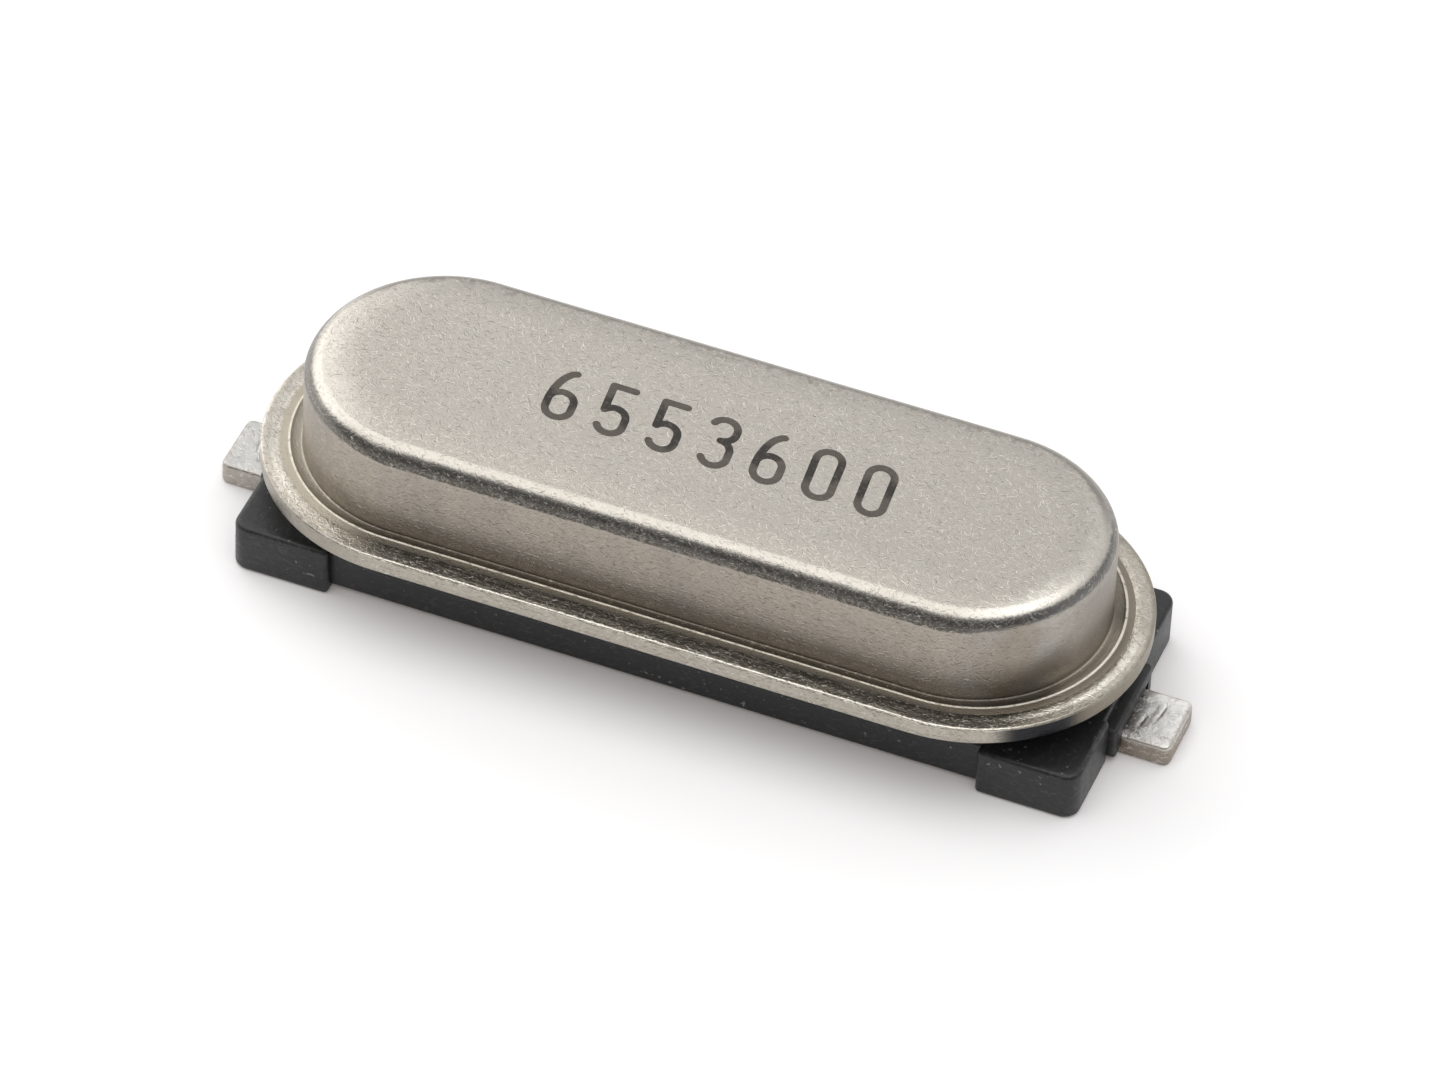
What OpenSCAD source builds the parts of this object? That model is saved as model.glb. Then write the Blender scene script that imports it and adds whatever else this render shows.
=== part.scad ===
// Two-terminal quartz crystal unit: a welded metal can on a moulded surface-mount base.
// Millimetres. +X runs along the length, +Z is up.
// The origin is the centre of the seating plane, under the middle of the base.

/* [Package] */
// Length of the metal rim over its round ends
rim_l = 11.05; // [10.9:0.05:11.4]
// Width of the metal rim
rim_w = 4.3; // [4.2:0.05:4.6]
// Height of the can's top above the seating plane
total_h = 2.61; // [2.5:0.05:3.6]

/* [Header] */
// Height of the header's underside above the seating plane
header_z = 1.05; // [1:0.05:1.1]
// Thickness of the header under the can's flange
seat_t = 0.15; // [0.12:0.01:0.18]
// Thickness of the header at its outer lip
lip_h = 0.24; // [0.22:0.01:0.26]
// Width of the header's outer lip
lip_w = 0.22; // [0.18:0.02:0.26]
// Radius on the lip's upper outer edge
lip_round = 0.05; // [0.03:0.01:0.06]
// Thickness of the header's raised centre
plug_t = 0.35; // [0.3:0.01:0.38]

/* [Can] */
// Sheet thickness of the drawn can
can_t = 0.15; // [0.12:0.01:0.16]
// Outer radius between the can's top and its wall
can_round = 0.28; // [0.2:0.02:0.4]
// Width of the flange outside the can's wall
flange_w = 0.22; // [0.18:0.02:0.26]
// Radius between the can's wall and its flange
root_round = 0.05; // [0.04:0.01:0.1]
// Gap between the can's flange and the header's lip
seam_gap = 0.02; // [0.01:0.01:0.04]

/* [Seals and leads] */
// Distance between the two lead wires
pin_pitch = 4.88; // [4.7:0.02:5]
// Diameter of each glass seal
seal_d = 0.95; // [0.8:0.05:1.1]
// Diameter of the lead wire
wire_d = 0.43; // [0.4:0.01:0.46]
// Centre-line radius of the bend under the header
bend_r = 0.4; // [0.35:0.05:0.45]
// Distance over the two lead tips
tip_span = 12.1; // [11.8:0.05:12.8]
// Width of a flattened lead tip
tip_w = 0.88; // [0.8:0.02:1]
// Thickness of a flattened lead tip
tip_t = 0.3; // [0.26:0.01:0.34]
// Length of the flattened part of a lead
tip_l = 1.9; // [1.7:0.05:2.1]
// Corner radius at the end of a lead tip
tip_round = 0.1; // [0.05:0.01:0.15]

/* [Base] */
// Length of the moulded base over its feet
base_l = 10.7; // [10.5:0.05:11]
// Width of the moulded base over its feet
base_w = 3.46; // [3.4:0.02:3.8]
// Height of a foot from the seating plane to its top
foot_h = 0.67; // [0.6:0.01:0.72]
// Length of a foot along the base
foot_l = 1.25; // [1.1:0.05:1.35]
// Width of a foot across the base
foot_w = 1.12; // [1.06:0.02:1.2]
// Radius of a foot's outer upright corner
foot_round = 0.2; // [0.12:0.02:0.26]
// Setback of the side rails behind the feet
rail_set = 0.12; // [0.08:0.01:0.16]
// Clear height under the side rails
rail_z = 0.07; // [0.05:0.01:0.1]
// Setback of the end walls behind the feet
end_set = 0.05; // [0.03:0.01:0.2]
// Projection of each lead saddle beyond the feet
saddle_out = 0.1; // [0.06:0.02:0.14]
// Width of each lead saddle
saddle_w = 1.26; // [1.2:0.02:1.34]
// Height of each lead saddle's top
saddle_h = 0.52; // [0.46:0.02:0.56]
// Clearance around a lead in the base
lead_gap = 0.05; // [0.03:0.01:0.06]

/* [Crystal] */
// Length of the quartz blank
blank_l = 8; // [7.6:0.1:8.2]
// Width of the quartz blank
blank_w = 1.9; // [1.6:0.1:2.1]
// Thickness of the quartz blank
blank_t = 0.27; // [0.2:0.01:0.3]
// Clearance between the top of the blank and the can
blank_room = 0.29; // [0.2:0.01:0.3]
// Length of an electrode's main area
electrode_l = 4.4; // [4:0.1:5]
// Width of an electrode's main area
electrode_w = 1.4; // [1:0.1:1.5]
// Thickness given to the electrode films
electrode_t = 0.03; // [0.02:0.01:0.04]
// Width of the strip from an electrode to its clip
strip_w = 0.5; // [0.3:0.05:0.6]

/* [Mounting clips] */
// Sheet thickness of a clip
clip_t = 0.1; // [0.08:0.01:0.1]
// Width of a clip
clip_w = 1.1; // [0.9:0.05:1.3]
// Length of the shelf under the end of the blank
shelf_l = 0.45; // [0.35:0.05:0.5]
// Height of the shelf's top above the clip's lower tab
shelf_rise = 0.2; // [0.17:0.01:0.25]
// Gap between the end of the blank and the clip's stop
end_gap = 0.05; // [0.03:0.01:0.06]
// Radius of a drop of conductive adhesive
drop_r = 0.34; // [0.3:0.02:0.4]
// Height of a drop of conductive adhesive
drop_h = 0.1; // [0.08:0.01:0.11]

/* [Hidden] */
$fn = 64;
arc_steps = 8;
overrun = 1;
// The header, the can and the base all follow one obround with this half run.
half_run = (rim_l - rim_w) / 2;
rim_r = rim_w / 2;
seat_z = header_z + seat_t;
lip_z = header_z + lip_h;
plug_z = header_z + plug_t;
lip_in_r = rim_r - lip_w;
flange_r = lip_in_r - seam_gap;
wall_r = flange_r - flange_w;
flange_z = seat_z + can_t;
can_in_r = wall_r - can_t;
in_round = can_round - can_t;
plug_gap = 0.06;
plug_r = can_in_r - plug_gap;
plug_edge = 0.06;
lip_dish = 0.02;
pin_x = pin_pitch / 2;
wire_r = wire_d / 2;
// The crystal hangs on a chain of heights from the can's ceiling down to the wire's end.
ceiling_z = total_h - can_t;
blank_top = ceiling_z - blank_room;
shelf_z = blank_top - blank_t;
post_z = shelf_z - shelf_rise;
tip_x = tip_span / 2;
flat_x = tip_x - tip_l;
flat_lap = 0.12;
foot_x = base_l / 2;
foot_y = base_w / 2;
foot_in_x = foot_x - foot_l;
foot_in_y = foot_y - foot_w;
rail_y = foot_y - rail_set;
end_x = foot_x - end_set;
saddle_x = foot_x + saddle_out;
slot_r = wire_r + lead_gap;
slot_z = wire_d + lead_gap;
bend_z = wire_r + bend_r;
blank_x = blank_l / 2;
stop_x = blank_x + end_gap;
shelf_x = stop_x - shelf_l;
tab_in = 0.3;
drop_in = 0.08;
stop_over = 0.06;
strip_end = 0.12;

can_colour = [0.74, 0.71, 0.67];
header_colour = [0.7, 0.67, 0.61];
glass_colour = [0.25, 0.4, 0.36];
lead_colour = [0.8, 0.79, 0.77];
base_colour = [0.1, 0.1, 0.11];
clip_colour = [0.72, 0.7, 0.64];
quartz_colour = [0.86, 0.9, 0.93];
electrode_colour = [0.85, 0.85, 0.86];
adhesive_colour = [0.66, 0.67, 0.66];

// Name of one sub-part, or all

// Points on an arc in the radius and height plane.
function arc(c, r, from, to) = [
    for (i = [0:arc_steps])
        let (a = from + (to - from) * i / arc_steps)
            [c[0] + r * cos(a), c[1] + r * sin(a)]
];

// Solid with one half profile all round the obround: turned ends and a straight middle.
module obround_swept(profile) {
    for (turn = [0, 180])
        rotate([0, 0, turn])
            translate([half_run, 0, 0])
                rotate_extrude(angle = 180, start = -90)
                    polygon(profile);
    translate([-half_run, 0, 0])
        rotate([90, 0, 90])
            linear_extrude(2 * half_run) {
                polygon(profile);
                mirror([1, 0])
                    polygon(profile);
            }
}

module obround_2d(r) {
    for (side = [-1, 1])
        translate([side * half_run, 0])
            circle(r);
    square([2 * half_run, 2 * r], center = true);
}

// Rectangle from the low corner, rounded at its far corner only.
module corner_block_2d(l, w, r) {
    square([l - r, w]);
    square([l, w - r]);
    translate([l - r, w - r])
        circle(r);
}

// Drawn can: flat top, filleted edge, upright wall and a narrow flange.
module can() {
    outside = concat(
        [[0, seat_z], [flange_r, seat_z], [flange_r, flange_z]],
        arc([wall_r + root_round, flange_z + root_round], root_round, 270, 180),
        arc([wall_r - can_round, total_h - can_round], can_round, 0, 90),
        [[0, total_h]]
    );
    inside = concat(
        [[0, seat_z - overrun], [can_in_r, seat_z - overrun]],
        arc([can_in_r - in_round, ceiling_z - in_round], in_round, 0, 90),
        [[0, ceiling_z]]
    );
    color(can_colour)
        difference() {
            obround_swept(outside);
            obround_swept(inside);
        }
}

// Stamped header: a thin seat for the can inside an outer lip, and a raised centre.
module header_plate() {
    section = concat(
        [[0, header_z], [rim_r, header_z]],
        arc([rim_r - lip_round, lip_z - lip_round], lip_round, 0, 90),
        [[lip_in_r, lip_z - lip_dish], [lip_in_r, seat_z], [plug_r, seat_z]],
        [[plug_r, plug_z - plug_edge], [plug_r - plug_edge, plug_z], [0, plug_z]]
    );
    color(header_colour)
        difference() {
            obround_swept(section);
            for (side = [-1, 1])
                translate([side * pin_x, 0, header_z - overrun])
                    cylinder(h = plug_t + 2 * overrun, d = seal_d);
        }
}

// Fused glass ring that holds one wire in the header.
module glass_seal(side) {
    color(glass_colour)
        translate([side * pin_x, 0, header_z])
            difference() {
                cylinder(h = plug_t, d = seal_d);
                translate([0, 0, -overrun])
                    cylinder(h = plug_t + 2 * overrun, d = wire_d);
            }
}

module glass_seal_left() {
    glass_seal(-1);
}

module glass_seal_right() {
    glass_seal(1);
}

// One wire: a post through the seal, a bend under it and a flattened tip.
module lead_shape() {
    translate([pin_x, 0, bend_z])
        cylinder(h = post_z - bend_z, d = wire_d);
    translate([pin_x + bend_r, 0, bend_z])
        rotate([90, 0, 0])
            rotate_extrude(angle = 90, start = 180)
                translate([bend_r, 0])
                    circle(d = wire_d);
    translate([pin_x + bend_r, 0, wire_r])
        rotate([0, 90, 0])
            cylinder(h = flat_x + flat_lap - pin_x - bend_r, d = wire_d);
    linear_extrude(tip_t)
        for (half = [0, 1])
            mirror([0, half])
                translate([flat_x, 0])
                    corner_block_2d(tip_l, tip_w / 2, tip_round);
}

module lead_left() {
    color(lead_colour)
        rotate([0, 0, 180])
            lead_shape();
}

module lead_right() {
    color(lead_colour)
        lead_shape();
}

// Room for one lead: the post, the bend, the round run and the flattened tip.
module lead_room() {
    translate([pin_x, 0, 0])
        cylinder(h = header_z + overrun, r = slot_r);
    translate([pin_x, -slot_r, -overrun])
        cube([bend_r, 2 * slot_r, bend_z + overrun]);
    translate([pin_x, -slot_r, -overrun])
        cube([flat_x + flat_lap + lead_gap - pin_x, 2 * slot_r, slot_z + overrun]);
    translate([flat_x - lead_gap, -tip_w / 2 - lead_gap, -overrun])
        cube([tip_l + overrun, tip_w + 2 * lead_gap, tip_t + overrun]);
}

// Black moulding: a raised bed for the header, side rails, end walls, four feet and two saddles.
module base_moulding() {
    color(base_colour)
        difference() {
            union() {
                translate([0, 0, rail_z])
                    linear_extrude(header_z - rail_z)
                        obround_2d(rail_y);
                translate([-end_x, -rail_y, rail_z])
                    cube([2 * end_x, 2 * rail_y, foot_h - rail_z]);
                for (sx = [0, 1], sy = [0, 1])
                    mirror([sx, 0, 0])
                        mirror([0, sy, 0])
                            translate([foot_in_x, foot_in_y, 0])
                                linear_extrude(foot_h)
                                    corner_block_2d(foot_l, foot_w, foot_round);
                translate([-saddle_x, -saddle_w / 2, rail_z])
                    cube([2 * saddle_x, saddle_w, saddle_h - rail_z]);
            }
            for (turn = [0, 180])
                rotate([0, 0, turn])
                    lead_room();
        }
}

// Spring clip welded to a wire: lower tab, riser, shelf and end stop.
module clip_shape() {
    side_view = [
        [pin_x - tab_in, post_z], [shelf_x + clip_t, post_z], [shelf_x + clip_t, shelf_z - clip_t],
        [stop_x + clip_t, shelf_z - clip_t], [stop_x + clip_t, blank_top + stop_over],
        [stop_x, blank_top + stop_over], [stop_x, shelf_z], [shelf_x, shelf_z],
        [shelf_x, post_z + clip_t], [pin_x - tab_in, post_z + clip_t]
    ];
    translate([0, clip_w / 2, 0])
        rotate([90, 0, 0])
            linear_extrude(clip_w)
                polygon(side_view);
}

module mounting_clip_left() {
    color(clip_colour)
        rotate([0, 0, 180])
            clip_shape();
}

module mounting_clip_right() {
    color(clip_colour)
        clip_shape();
}

module quartz_blank() {
    color(quartz_colour)
        translate([-blank_x, -blank_w / 2, shelf_z])
            cube([blank_l, blank_w, blank_t]);
}

// Electrode outline with its strip running towards +X as far as reach.
module electrode_2d(reach) {
    square([electrode_l, electrode_w], center = true);
    translate([0, -strip_w / 2])
        square([reach, strip_w]);
}

module electrode_upper_shape() {
    translate([0, 0, blank_top])
        linear_extrude(electrode_t)
            rotate(180)
                electrode_2d(blank_x - strip_end);
}

module electrode_upper() {
    color(electrode_colour)
        electrode_upper_shape();
}

module electrode_lower() {
    color(electrode_colour)
        translate([0, 0, shelf_z - electrode_t])
            linear_extrude(electrode_t)
                electrode_2d(shelf_x);
}

// Drop of adhesive on the blank's end, run down against the clip's stop.
module drop_shape() {
    dome_r = (drop_r * drop_r + drop_h * drop_h) / (2 * drop_h);
    dome_a = asin(drop_r / dome_r);
    intersection() {
        translate([blank_x - drop_in, 0, blank_top])
            rotate_extrude()
                polygon(concat([[0, 0]], arc([0, drop_h - dome_r], dome_r, 90 - dome_a, 90)));
        translate([0, -drop_r, blank_top])
            cube([stop_x, 2 * drop_r, drop_h + overrun]);
    }
    translate([blank_x, -drop_r / 2, shelf_z])
        cube([end_gap, drop_r, blank_t]);
}

module adhesive_left() {
    color(adhesive_colour)
        difference() {
            rotate([0, 0, 180])
                drop_shape();
            electrode_upper_shape();
        }
}

module adhesive_right() {
    color(adhesive_colour)
        drop_shape();
}

can();
header_plate();
glass_seal_left();
glass_seal_right();
lead_left();
lead_right();
mounting_clip_left();
mounting_clip_right();
quartz_blank();
electrode_upper();
electrode_lower();
adhesive_left();
adhesive_right();
base_moulding();
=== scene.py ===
import math

import bmesh
import bpy
from mathutils import Matrix, Vector, noise


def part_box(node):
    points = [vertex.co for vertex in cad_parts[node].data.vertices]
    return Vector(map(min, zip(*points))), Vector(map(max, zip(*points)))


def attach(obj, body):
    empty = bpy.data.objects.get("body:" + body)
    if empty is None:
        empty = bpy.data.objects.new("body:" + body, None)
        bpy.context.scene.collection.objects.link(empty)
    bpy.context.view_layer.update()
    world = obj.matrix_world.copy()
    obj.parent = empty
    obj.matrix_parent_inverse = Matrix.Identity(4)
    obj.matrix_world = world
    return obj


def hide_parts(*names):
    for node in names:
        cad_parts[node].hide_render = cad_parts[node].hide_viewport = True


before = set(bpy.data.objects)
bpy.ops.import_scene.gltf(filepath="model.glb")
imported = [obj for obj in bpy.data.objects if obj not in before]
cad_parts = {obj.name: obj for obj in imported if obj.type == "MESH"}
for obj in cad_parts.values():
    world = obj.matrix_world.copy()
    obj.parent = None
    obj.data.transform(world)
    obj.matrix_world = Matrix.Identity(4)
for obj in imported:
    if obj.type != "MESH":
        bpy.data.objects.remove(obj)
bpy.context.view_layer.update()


# --- Drawn can -----------------------------------------------------------------------------
# The lid of the crystal: one nickel-silver sheet drawn to an obround cup with a narrow flange.
# It was tumbled after drawing, so short hair-like marks cover it, and a highlight is painted along
# its edge.

mm = 0.001
can_low, can_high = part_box("can")
half_run = can_high.x - can_high.y
flange_r = can_high.y
seat_z = can_low.z
can_top = can_high.z
wall_r = flange_r - 0.22 * mm
sheet_t = 0.15 * mm
edge_round = 0.27 * mm
flange_z = seat_z + 0.102 * mm


def arc(centre, radius, start, end, steps):
    """Points of a flat arc between two angles in degrees, both ends kept."""
    points = []
    for i in range(steps + 1):
        angle = math.radians(start + (end - start) * i / steps)
        points.append((centre[0] + radius * math.cos(angle), centre[1] + radius * math.sin(angle)))
    return points


def line(start, end, steps):
    """Evenly spaced points between two flat points, both ends left out."""
    return [
        (start[0] + (end[0] - start[0]) * i / steps, start[1] + (end[1] - start[1]) * i / steps)
        for i in range(1, steps)
    ]


def obround_stations(turn_steps, run_steps):
    """Centre and outward direction all round the obround, anticlockwise from the front right."""
    stations = []
    for side, first in ((1, -90), (-1, 90)):
        for i in range(turn_steps + 1):
            angle = math.radians(first + 180 * i / turn_steps)
            stations.append((side * half_run, math.cos(angle), math.sin(angle)))
        for i in range(1, run_steps):
            x = side * half_run * (1 - 2 * i / run_steps)
            stations.append((x, 0.0, side * 1.0))
    return stations


def stand(name, data):
    """Puts a mesh, a lamp or a camera into the scene as an object."""
    thing = bpy.data.objects.new(name, data)
    bpy.context.scene.collection.objects.link(thing)
    return thing


def smooth_shade(mesh, sharp_angle):
    """Smooth faces, with a crease wherever two of them turn by more than an angle in degrees."""
    for polygon in mesh.polygons:
        polygon.use_smooth = True
    mesh.set_sharp_from_angle(angle=math.radians(sharp_angle))


def paint(piece, material):
    """Gives a piece one material all over."""
    piece.data.materials.clear()
    piece.data.materials.append(material)


def join_rings(bm, rings):
    """Faces between each ring of vertices and the next."""
    for first, second in zip(rings, rings[1:]):
        for i in range(len(first)):
            j = (i + 1) % len(first)
            bm.faces.new((first[i], first[j], second[j], second[i]))


def finish_mesh(name, bm, sharp_angle):
    """Turns a bmesh into an object with smooth faces and sharp creases."""
    bmesh.ops.recalc_face_normals(bm, faces=bm.faces)
    mesh = bpy.data.meshes.new(name)
    bm.to_mesh(mesh)
    bm.free()
    smooth_shade(mesh, sharp_angle)
    return stand(name, mesh)


def clamp(value):
    """A value held between 0 and 1."""
    return min(1.0, max(0.0, value))


def obround_solid(name, profile, sharp_angle, pull=0.0, bulge=0.0):
    """Sweeps a half profile, from the axis round to the axis, along the obround.

    The sheet is a little uneven all over. The pull shortens the straight run inside the
    flange. The bulge rounds the top of the lip up at the two ends, most at the right.
    """
    uneven = 0.004 * mm
    lumps_per_m = 0.9 / mm
    bulge_starts = flange_r - 0.05 * mm
    bulge_width = 0.19 * mm
    left_share = 0.45
    merge_within = 0.0005 * mm
    bm = bmesh.new()
    rings = []
    for radius, z in profile:
        inside = clamp((flange_r - radius) / (flange_r - wall_r))
        across_lip = clamp((radius - bulge_starts) / bulge_width)
        rise = bulge * math.sin(math.pi * across_lip) ** 2 if z > seat_z else 0.0
        ring = []
        for x, out_x, out_y in obround_stations(turn_steps=72, run_steps=64):
            x -= math.copysign(pull, x) * inside * abs(x) / half_run
            end_share = out_x if out_x > 0 else -left_share * out_x
            spot = Vector((x + radius * out_x, radius * out_y, z + rise * end_share))
            lump = noise.noise(spot * lumps_per_m) * min(1.0, radius / wall_r)
            spot += Vector((out_x, out_y, 0.0)) * lump * uneven
            ring.append(bm.verts.new(spot))
        rings.append(ring)
    join_rings(bm, rings)
    bmesh.ops.remove_doubles(bm, verts=bm.verts, dist=merge_within)
    return finish_mesh(name, bm, sharp_angle)


def can_profile():
    """Half section of the can: flat top, eased edge, wall, flange, its crest, then the inside."""
    ease = 0.42 * mm
    ease_drop = 0.026 * mm
    flat_r = wall_r - edge_round - ease
    points = [(0.0, can_top)]
    points += line((0.0, can_top), (flat_r, can_top), 12)
    for i in range(13):
        t = i / 12
        points.append((flat_r + ease * t, can_top - ease_drop * t * t))
    tilt = math.degrees(math.atan(2 * ease_drop / ease))
    drop = edge_round * math.cos(math.radians(tilt)) + ease_drop
    points += arc((wall_r - edge_round, can_top - drop), edge_round, 90 - tilt, 0, 24)[1:]

    crease = 0.022 * mm
    points += line(points[-1], (wall_r, flange_z + crease), 14)
    points += arc((wall_r + crease, flange_z + crease), crease, 180, 270, 7)
    crest_r = wall_r + 0.125 * mm
    crest_h = 0.020 * mm
    crest_round = 0.012 * mm
    points.append((crest_r - 0.034 * mm, flange_z + 0.002 * mm))
    points += arc((crest_r, flange_z + crest_h - crest_round), crest_round, 130, 70, 8)
    points += [(flange_r - 0.03 * mm, flange_z + 0.001 * mm), (flange_r, flange_z - 0.006 * mm)]

    inner_r = wall_r - sheet_t
    inner_round = edge_round - sheet_t
    ceiling = can_top - sheet_t
    points += [(flange_r, seat_z), (inner_r, seat_z)]
    points += arc((inner_r - inner_round, ceiling - inner_round), inner_round, 0, 90, 6)
    points.append((0.0, ceiling))
    return points


def connect(value, socket):
    """Feeds a socket from another one, or sets it to a number or a vector."""
    if isinstance(value, bpy.types.NodeSocket):
        socket.id_data.links.new(value, socket)
    else:
        socket.default_value = value


def scaled(vector, factor):
    """A vector times a number or a socket."""
    node = vector.id_data.nodes.new("ShaderNodeVectorMath")
    node.operation = "SCALE"
    connect(vector, node.inputs[0])
    connect(factor, node.inputs["Scale"])
    return node.outputs[0]


def plain_shader(name):
    """A new material and its Principled BSDF."""
    material = bpy.data.materials.new(name)
    material.use_nodes = True
    return material, material.node_tree.nodes["Principled BSDF"]


def shader_start(name):
    """A new material, its Principled BSDF and its place on the object, in millimetres."""
    material, shader = plain_shader(name)
    place = material.node_tree.nodes.new("ShaderNodeTexCoord")
    return material, shader, scaled(place.outputs["Object"], 1 / mm)


def noise_value(position, scale, detail=2.0, rough=0.5, distortion=0.0, stretch=None):
    """Noise of one scale per millimetre, with its position stretched if asked."""
    nodes = position.id_data.nodes
    if stretch:
        squash = nodes.new("ShaderNodeMapping")
        connect(stretch, squash.inputs["Scale"])
        connect(position, squash.inputs["Vector"])
        position = squash.outputs["Vector"]
    node = nodes.new("ShaderNodeTexNoise")
    wanted = {
        "Vector": position, "Scale": scale, "Detail": detail,
        "Roughness": rough, "Distortion": distortion,
    }
    for label, value in wanted.items():
        connect(value, node.inputs[label])
    return node.outputs["Fac"]


def wired_node(kind, operation, values):
    """A node of one operation in its inputs' own tree, each input a socket or a plain value."""
    tree = next(value.id_data for value in values if isinstance(value, bpy.types.NodeSocket))
    node = tree.nodes.new(kind)
    node.operation = operation
    for socket, value in zip(node.inputs, values):
        connect(value, socket)
    return node


def math_node(operation, *values):
    """One Math node, whose inputs are sockets or plain numbers."""
    return wired_node("ShaderNodeMath", operation, values).outputs[0]


def vector_node(operation, *values):
    """One Vector Math node; a dot product gives its value, the rest their vector."""
    node = wired_node("ShaderNodeVectorMath", operation, values)
    return node.outputs["Value" if operation == "DOT_PRODUCT" else "Vector"]


def times(product, *factors):
    """The product of sockets and plain numbers."""
    for factor in factors:
        product = math_node("MULTIPLY", product, factor)
    return product


def add_share(value, share, rest):
    """A share of one value on top of another."""
    return math_node("MULTIPLY_ADD", value, share, rest)


def opposite(mask):
    """One minus a mask."""
    return math_node("SUBTRACT", 1.0, mask)


def parts_of(vector):
    """The X, Y and Z of a vector, or the three parts of a colour."""
    node = vector.id_data.nodes.new("ShaderNodeSeparateXYZ")
    connect(vector, node.inputs[0])
    return [*node.outputs]


def ramp(value, low, high, to_low=0.0, to_high=1.0):
    """Maps a value smoothly from one range to another, held at both ends."""
    node = value.id_data.nodes.new("ShaderNodeMapRange")
    node.interpolation_type = "SMOOTHSTEP"
    for socket, number in zip(node.inputs[1:5], (low, high, to_low, to_high)):
        connect(number, socket)
    connect(value, node.inputs["Value"])
    return node.outputs["Result"]


def fade(value, low, high):
    """A mask that falls from 1 to 0 as a value rises through a range."""
    return ramp(value, low, high, 1.0, 0.0)


def band(value, low_in, high_in, low_out, high_out):
    """A mask that rises through one range of a value and falls through a later one."""
    return times(ramp(value, low_in, high_in), fade(value, low_out, high_out))


def tint(amount, first, second, strength=1.0):
    """Mixes two colours, each a socket or an RGB triple, by a socket times a strength."""
    if strength != 1.0:
        amount = times(amount, strength)
    node = amount.id_data.nodes.new("ShaderNodeMix")
    node.data_type = "RGBA"
    connect(amount, node.inputs["Factor"])
    for letter, colour in (("A", first), ("B", second)):
        socket = node.inputs[letter]
        connect((*colour, 1.0) if isinstance(colour, tuple) else colour, socket)
    return node.outputs["Result"]


def new_group(name, outputs, **inputs):
    """A shader node group with a Position input first, then float inputs and float outputs."""
    group = bpy.data.node_groups.new(name, "ShaderNodeTree")
    group.interface.new_socket(name="Position", in_out="INPUT", socket_type="NodeSocketVector")
    for label, value in inputs.items():
        socket = group.interface.new_socket(name=label, in_out="INPUT", socket_type="NodeSocketFloat")
        socket.default_value = value
    for label in outputs:
        group.interface.new_socket(name=label, in_out="OUTPUT", socket_type="NodeSocketFloat")
    return group, group.nodes.new("NodeGroupInput"), group.nodes.new("NodeGroupOutput")


def place_group(group, position, **values):
    """Puts a node group in a material, sets its inputs and gives its outputs in order."""
    node = position.id_data.nodes.new("ShaderNodeGroup")
    node.node_tree = group
    connect(position, node.inputs["Position"])
    for label, value in values.items():
        connect(value, node.inputs[label])
    return [*node.outputs]


def hair_layer(position, normal, per_mm, offset):
    """One layer of short curved strokes lying in the surface: light above 0, dark below."""
    moved = vector_node("ADD", position, (offset, 2 * offset, -offset))
    sized = vector_node("MULTIPLY", moved, (per_mm, per_mm, per_mm))
    cells = position.id_data.nodes.new("ShaderNodeTexVoronoi")
    connect(1.0, cells.inputs["Scale"])
    connect(sized, cells.inputs["Vector"])
    colour = cells.outputs["Color"]
    from_centre = vector_node("SUBTRACT", sized, cells.outputs["Position"])
    chance = vector_node("SUBTRACT", colour, (0.5, 0.5, 0.5))
    chance = vector_node("MULTIPLY", chance, (0.75, 1.0, 1.0))
    along = vector_node("NORMALIZE", vector_node("CROSS_PRODUCT", normal, chance))
    across = vector_node("CROSS_PRODUCT", normal, along)
    sideways = vector_node("DOT_PRODUCT", from_centre, across)
    from_middle = math_node("ABSOLUTE", vector_node("DOT_PRODUCT", from_centre, along))
    red, _, blue = parts_of(colour)
    bend = add_share(red, 1.8, -0.9)
    curve = times(bend, math_node("POWER", from_middle, 2.0))
    off_line = math_node("ABSOLUTE", math_node("ADD", sideways, curve))
    stroke = times(fade(off_line, 0.03, 0.12), fade(from_middle, 0.28, 0.5))
    sign = add_share(blue, 2.0, -1.0)
    return times(stroke, sign)


def tumble_marks():
    """Short hair marks all over a tumbled sheet, light and dark, with slow clouds and pits."""
    outputs = ("Light", "Dark", "Cloud", "Relief")
    group, start, end = new_group("tumble_marks", outputs, Fineness=1.0)
    position = scaled(start.outputs["Position"], start.outputs["Fineness"])
    normal = group.nodes.new("ShaderNodeTexCoord").outputs["Normal"]
    streak = hair_layer(position, normal, 9.5, 3.1)
    for per_mm, offset in ((12.0, 17.7), (14.5, 41.3), (18.0, 67.9)):
        streak = math_node("ADD", streak, hair_layer(position, normal, per_mm, offset))
    pits = noise_value(position, 30.0, 2.0, 0.6)
    connect(math_node("MAXIMUM", streak, 0.0), end.inputs["Light"])
    connect(math_node("MAXIMUM", times(streak, -1.0), 0.0), end.inputs["Dark"])
    connect(noise_value(position, 1.3, 3.0, 0.55), end.inputs["Cloud"])
    connect(add_share(pits, 0.5, streak), end.inputs["Relief"])
    return group


def obround_reach():
    """Distance out from the obround's centre line, height, and place along and across, in mm."""
    outputs = ("Reach", "Height", "Along", "Across")
    group, start, end = new_group("obround_reach", outputs)
    along, across, height = parts_of(start.outputs["Position"])
    past = math_node("SUBTRACT", math_node("ABSOLUTE", along), half_run / mm)
    past = math_node("MAXIMUM", past, 0.0)
    square = math_node("POWER", math_node("ABSOLUTE", across), 2.0)
    connect(math_node("SQRT", add_share(past, past, square)), end.inputs["Reach"])
    connect(height, end.inputs["Height"])
    connect(along, end.inputs["Along"])
    connect(across, end.inputs["Across"])
    return group


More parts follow.
